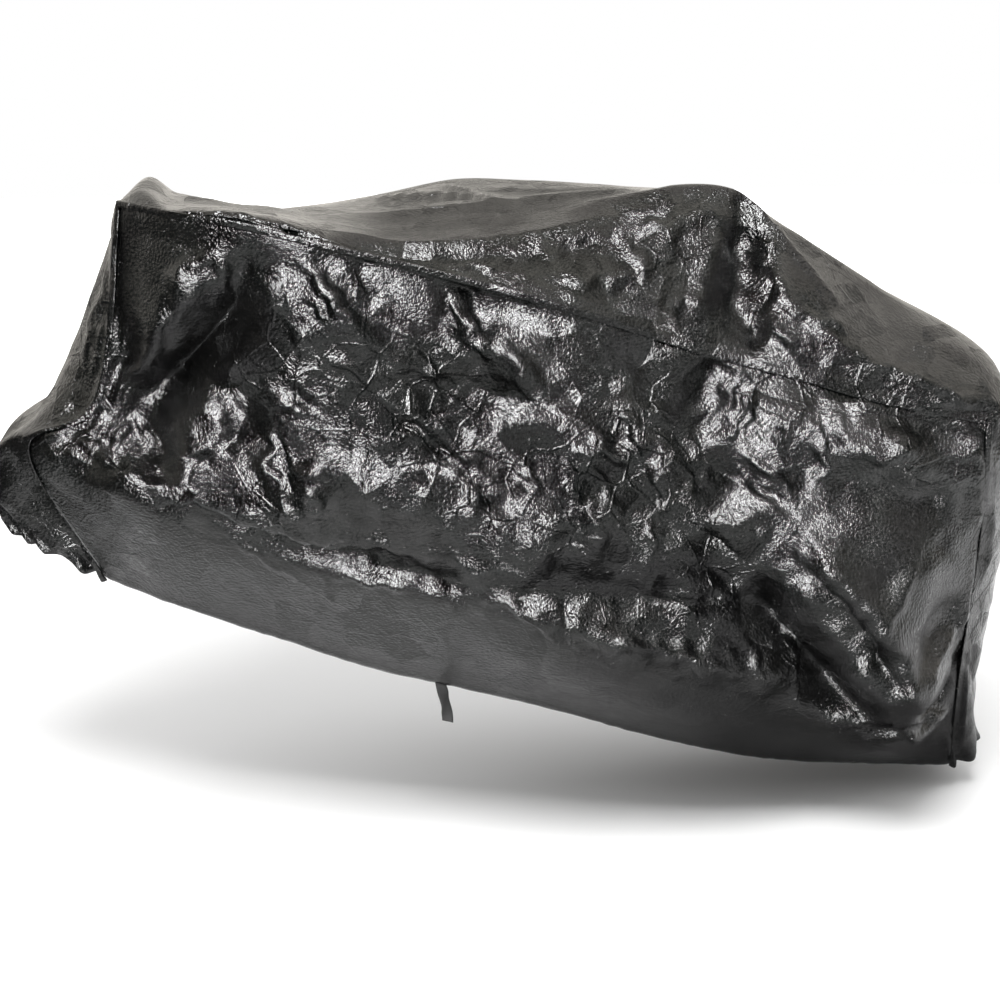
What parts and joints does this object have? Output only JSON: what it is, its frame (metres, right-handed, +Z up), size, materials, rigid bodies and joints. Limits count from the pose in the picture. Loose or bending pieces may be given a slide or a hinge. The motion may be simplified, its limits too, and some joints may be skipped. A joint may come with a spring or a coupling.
{
  "type": "bicycle cover",
  "caption": "Fitted bag-shaped cover of black coated woven cloth, draped as over a bicycle on its side stand, open below, with a gathered hem and a hanging tie strap end.",
  "frame": {"origin": "the place under the top that sits on the saddle", "axes": "+X from the front of the bicycle to its rear, +Y away from its side stand, +Z up"},
  "size_m": [1.7795, 0.7643, 1.1131],
  "materials": {
    "coated_cloth": "black woven polyethylene with a glossy coating, creased",
    "strap_webbing": "black narrow webbing"
  },
  "bodies": {
    "root": {"near_side_panel": "coated_cloth", "far_side_panel": "coated_cloth", "gusset": "coated_cloth", "hem_strap": "strap_webbing"}
  },
  "joints": []
}
